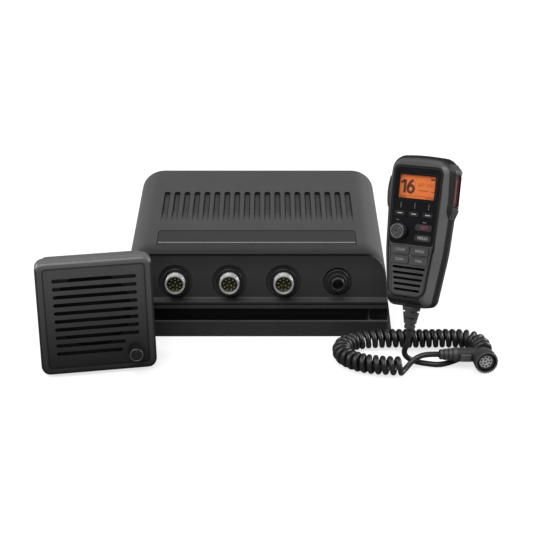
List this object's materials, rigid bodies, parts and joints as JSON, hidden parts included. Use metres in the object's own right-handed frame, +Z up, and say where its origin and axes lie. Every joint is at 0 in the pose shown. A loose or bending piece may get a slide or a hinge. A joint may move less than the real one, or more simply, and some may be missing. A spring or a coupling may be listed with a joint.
{
  "type": "vhf marine radio",
  "caption": "Black-box marine radio with round accessory sockets, a slotted loudspeaker with a volume knob and a fist handset on a curly cord with a right-angle plug.",
  "frame": {"origin": "on the mounting surface, under the middle of the transceiver's width and midway between its front lip and its cover's rear face (to about a millimetre)", "axes": "+X to the right seen from the connector side, -Y out of the connector side, +Z up"},
  "size_m": [0.4079, 0.308, 0.1828],
  "materials": {
    "bare_aluminium": "mill",
    "base_coat": "fine texture",
    "black_plastic": "satin",
    "board_green": "satin",
    "cone_paper": "matt",
    "cord_rubber": "satin",
    "cover_coat": "fine matt texture",
    "dark_metal": "satin",
    "disc_plastic": "matt",
    "display_amber": "backlit",
    "display_glass": "clear",
    "gasket_rubber": "matt",
    "gloss_panel": "gloss",
    "gold_contact": "polished",
    "handset_shell": "satin",
    "insert_plastic": "satin",
    "key_rubber": "satin",
    "knob_plastic": "satin",
    "magnet_ferrite": "matt",
    "nickel": "polished",
    "plug_plastic": "satin",
    "red_plastic": "satin",
    "socket_metal": "satin",
    "speaker_shell": "fine texture",
    "stainless": "satin",
    "talk_rubber": "matt",
    "tin_shield": "satin"
  },
  "bodies": {
    "radio": {"accessory_socket_barrels": "socket_metal", "accessory_socket_inserts": "insert_plastic", "accessory_socket_pins": "gold_contact", "accessory_socket_seats": "black_plastic", "amplifier_board": "board_green", "antenna_socket": "nickel", "base_tray": "base_coat", "cord_boot": "cord_rubber", "cover_gasket": "gasket_rubber", "cover_screws": "stainless", "curly_cord": "cord_rubber", "display_lens": "display_glass", "display_module": "display_amber", "driver_cone": "cone_paper", "driver_frame": "dark_metal", "driver_magnet": "magnet_ferrite", "front_panel": "gloss_panel", "handset_board": "board_green", "handset_cord_tail": "cord_rubber", "handset_front_shell": "handset_shell", "handset_rear_shell": "handset_shell", "handset_screws": "stainless", "hang_stud": "black_plastic", "heat_sink": "bare_aluminium", "keypad_membrane": "key_rubber", "main_board": "board_green", "microphone": "dark_metal", "network_socket_barrel": "dark_metal", "network_socket_insert": "black_plastic", "plug_body": "plug_plastic", "plug_boot": "cord_rubber", "plug_contact_disc": "disc_plastic", "plug_cord_tail": "cord_rubber", "power_socket": "black_plastic", "radio_shield_can": "tin_shield", "selector_encoder": "black_plastic", "speaker_bezel": "speaker_shell", "speaker_cable_gland": "cord_rubber", "speaker_grille": "speaker_shell", "speaker_housing": "speaker_shell", "speaker_screws": "stainless", "top_cover": "cover_coat", "voice_driver": "dark_metal", "volume_control": "dark_metal"},
    "volume_knob": {"volume_knob": "knob_plastic"},
    "selector_shaft": {"selector_shaft": "dark_metal"},
    "selector_knob": {"selector_knob": "knob_plastic"},
    "soft_key_left": {"soft_key_left": "key_rubber"},
    "soft_key_centre": {"soft_key_centre": "key_rubber"},
    "soft_key_right": {"soft_key_right": "key_rubber"},
    "priority_key": {"priority_key": "key_rubber"},
    "power_level_key": {"power_level_key": "key_rubber"},
    "pad_key_upper_left": {"pad_key_upper_left": "key_rubber"},
    "pad_key_upper_right": {"pad_key_upper_right": "key_rubber"},
    "pad_key_lower_left": {"pad_key_lower_left": "key_rubber"},
    "pad_key_lower_right": {"pad_key_lower_right": "key_rubber"},
    "talk_key": {"talk_key": "talk_rubber"},
    "distress_cover": {"distress_cover": "red_plastic"},
    "distress_button": {"distress_button": "red_plastic"},
    "plug_coupling_ring": {"plug_coupling_ring": "plug_plastic"}
  },
  "joints": [
    {"name": "volume_turn", "type": "hinge", "parent": "radio", "child": "volume_knob", "pos_m": [-0.1058, -0.17178, 0.02336], "axis": [-0.153, 0.9661, -0.2081], "range_deg": [-150, 150]},
    {"name": "selector_press", "type": "slide", "parent": "radio", "child": "selector_shaft", "axis": [0.5421, 0.7449, -0.3888], "range_m": [0, 0.0006], "stiffness_N_per_m": 900},
    {"name": "selector_turn", "type": "hinge", "parent": "selector_shaft", "child": "selector_knob", "pos_m": [0.12441, -0.1318, 0.12212], "axis": [0.5421, 0.7449, -0.3888], "continuous": true},
    {"name": "soft_key_left_press", "type": "slide", "parent": "radio", "child": "soft_key_left", "axis": [0.5421, 0.7449, -0.3888], "range_m": [0, 0.0008], "stiffness_N_per_m": 700},
    {"name": "soft_key_centre_press", "type": "slide", "parent": "radio", "child": "soft_key_centre", "axis": [0.5421, 0.7449, -0.3888], "range_m": [0, 0.0008], "stiffness_N_per_m": 700},
    {"name": "soft_key_right_press", "type": "slide", "parent": "radio", "child": "soft_key_right", "axis": [0.5421, 0.7449, -0.3888], "range_m": [0, 0.0008], "stiffness_N_per_m": 700},
    {"name": "priority_key_press", "type": "slide", "parent": "radio", "child": "priority_key", "axis": [0.5421, 0.7449, -0.3888], "range_m": [0, 0.0008], "stiffness_N_per_m": 700},
    {"name": "power_level_key_press", "type": "slide", "parent": "radio", "child": "power_level_key", "axis": [0.5421, 0.7449, -0.3888], "range_m": [0, 0.0008], "stiffness_N_per_m": 700},
    {"name": "pad_key_upper_left_press", "type": "slide", "parent": "radio", "child": "pad_key_upper_left", "axis": [0.5421, 0.7449, -0.3888], "range_m": [0, 0.0008], "stiffness_N_per_m": 700},
    {"name": "pad_key_upper_right_press", "type": "slide", "parent": "radio", "child": "pad_key_upper_right", "axis": [0.5421, 0.7449, -0.3888], "range_m": [0, 0.0008], "stiffness_N_per_m": 700},
    {"name": "pad_key_lower_left_press", "type": "slide", "parent": "radio", "child": "pad_key_lower_left", "axis": [0.5421, 0.7449, -0.3888], "range_m": [0, 0.0008], "stiffness_N_per_m": 700},
    {"name": "pad_key_lower_right_press", "type": "slide", "parent": "radio", "child": "pad_key_lower_right", "axis": [0.5421, 0.7449, -0.3888], "range_m": [0, 0.0008], "stiffness_N_per_m": 700},
    {"name": "talk_key_press", "type": "slide", "parent": "radio", "child": "talk_key", "axis": [0.8348, -0.5302, 0.1481], "range_m": [0, 0.0014], "stiffness_N_per_m": 900},
    {"name": "distress_cover_lift", "type": "hinge", "parent": "radio", "child": "distress_cover", "pos_m": [0.17604, -0.12273, 0.15531], "axis": [0.0958, 0.4049, 0.9093], "range_deg": [0, 100], "stiffness_Nm_per_rad": 0.02, "springref_deg": -11.46},
    {"name": "distress_button_press", "type": "slide", "parent": "radio", "child": "distress_button", "axis": [-0.8348, 0.5302, -0.1481], "range_m": [0, 0.001], "stiffness_N_per_m": 900},
    {"name": "coupling_ring_turn", "type": "hinge", "parent": "radio", "child": "plug_coupling_ring", "pos_m": [0.20325, -0.16306, 0.01034], "axis": [0.1384, -0.9848, 0.1045], "continuous": true}
  ]
}
